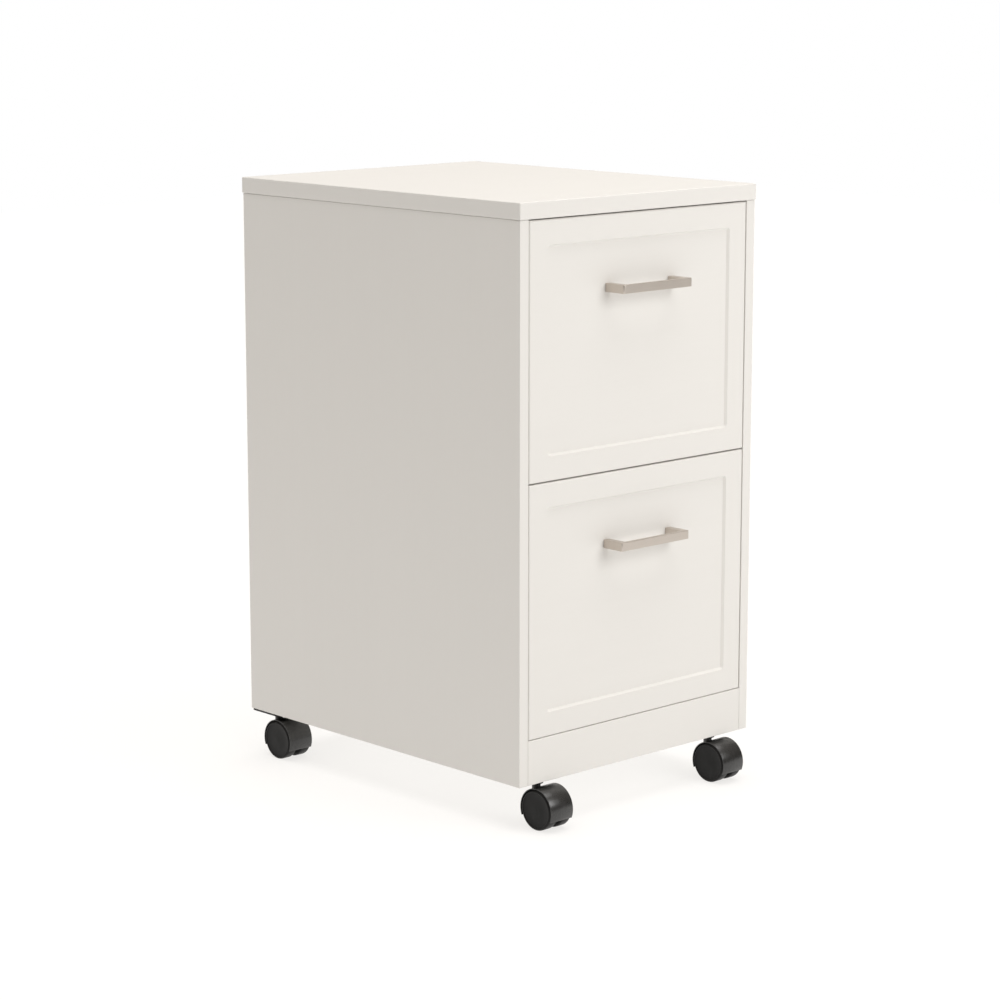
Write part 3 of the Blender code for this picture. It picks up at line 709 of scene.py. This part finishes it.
# %% Hoods, plates and plate screws
HOOD_ARRIS = 0.35 * MM
PLATE_THICKNESS = 2 * MM
PLATE_SCREW_INSET = 6 * MM
PLATE_SCREW = {"radius": 3.6 * MM, "height": 1.8 * MM}
for corner in CORNERS:
    node = f"{corner}_caster_housing"
    finished(f"{corner}_caster_hood", soft_copy(node, HOOD_ARRIS, 2, 50), hood_nylon, f"{corner}_caster",
             [node], crease=35)
    node = f"{corner}_caster_plate"
    finished(f"{corner}_plate", soft_copy(node, HOOD_ARRIS, 2, 50), black_steel, "cabinet",
             [node], crease=35)
    low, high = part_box(node)
    underside = high.z - PLATE_THICKNESS
    places = [facing((x, y, underside), (0, 0, -1))
              for x in (low.x + PLATE_SCREW_INSET, high.x - PLATE_SCREW_INSET)
              for y in (low.y + PLATE_SCREW_INSET, high.y - PLATE_SCREW_INSET)]
    finished(f"{corner}_plate_screws", gathered(screw_head(**PLATE_SCREW), places), black_steel,
             "cabinet", crease=35)
    axle = nodes[f"{corner}_caster_axle"]
    axle.data.materials.clear()
    axle.data.materials.append(bearing_steel)

# %% [markdown]
# ## Floor and light
# White furniture sits well on a lit acrylic table between soft boxes. The table glows a little of its
# own, which lifts the shadow under the case to a pale grey. Here the floor's own finish gives that
# glow. One wide sun lamp straight above stands for the ceiling soft box and makes the top lightest. A
# square soft box in front and to the right lights the fronts, a little more at their top than at their
# foot, and leaves the left side in soft shade. The sky brightens from the horizon to the zenith, so the
# metal has something dark to reflect.

# %% Floor
FLOOR_GLOW = 0.77
FLOOR_HALF_SIZE = 7.0
FLOOR_TINT = (1, 0.982, 0.957, 1)
FLOOR_DARK = (0.20, 0.20, 0.20, 1)
FLOOR_LIGHT = (0.22, 0.22, 0.22, 1)

floor_mesh = bmesh.new()
bmesh.ops.create_grid(floor_mesh, x_segments=1, y_segments=1, size=FLOOR_HALF_SIZE)
floor_data = bpy.data.meshes.new("floor")
floor_mesh.to_mesh(floor_data)
floor_mesh.free()
floor_finish, floor_shader, floor_sheet = start_finish("studio_floor", 0.9)
floor_shader.inputs["Emission Color"].default_value = FLOOR_TINT
floor_shader.inputs["Emission Strength"].default_value = FLOOR_GLOW
floor_place = floor_sheet.node("ShaderNodeTexCoord", output="Object")
floor_tone = floor_sheet.noise(floor_place, 3)
feed(floor_sheet.blend(floor_tone, FLOOR_DARK, FLOOR_LIGHT), floor_shader, "Base Color")
floor_data.materials.append(floor_finish)
floor = bpy.data.objects.new("floor", floor_data)
bpy.context.scene.collection.objects.link(floor)

# %% Lights
CEILING_STRENGTH = 0.79
CEILING_SPREAD = math.radians(60)
FRONT_POWER = 18.4
FRONT_SIZE = 1.1
FRONT_DISTANCE = 2.2
FRONT_FROM = Vector((0.25, -1.0, 0.5)).normalized()

ceiling = bpy.data.lights.new("ceiling_soft_box", "SUN")
ceiling.energy = CEILING_STRENGTH * math.pi
ceiling.angle = CEILING_SPREAD
ceiling_light = bpy.data.objects.new("ceiling_soft_box", ceiling)
ceiling_light.location = (0, 0, 3)
bpy.context.scene.collection.objects.link(ceiling_light)

front_middle = (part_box("lower_drawer_front")[0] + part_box("upper_drawer_front")[1]) / 2
front = bpy.data.lights.new("front_soft_box", "AREA")
front.energy = FRONT_POWER
front.size = FRONT_SIZE
front_light = bpy.data.objects.new("front_soft_box", front)
front_light.location = front_middle + FRONT_FROM * FRONT_DISTANCE
front_light.rotation_euler = FRONT_FROM.to_track_quat("Z", "Y").to_euler()
bpy.context.scene.collection.objects.link(front_light)

# %% Sky
HORIZON_STRENGTH = 0.09
ZENITH_STRENGTH = 0.60
SKY_COLOUR = (1.0, 0.92, 0.83, 1)

world = bpy.data.worlds.new("studio")
bpy.context.scene.world = world
world.use_nodes = True
sky = Wire(world.node_tree)
direction = sky.node("ShaderNodeTexCoord", output="Generated")
height = sky.node("ShaderNodeSeparateXYZ", {}, {"Vector": direction}, "Z").clamped()
shade = height * (ZENITH_STRENGTH - HORIZON_STRENGTH) + HORIZON_STRENGTH
seen = sky.node("ShaderNodeLightPath", output="Is Camera Ray")
strength = seen * (1 - shade) + shade
background = world.node_tree.nodes["Background"]
tint = sky.blend(seen, SKY_COLOUR, (1, 1, 1, 1))
world.node_tree.links.new(tint.socket, background.inputs["Color"])
world.node_tree.links.new(strength.socket, background.inputs["Strength"])
bpy.context.scene.view_settings.view_transform = "Standard"
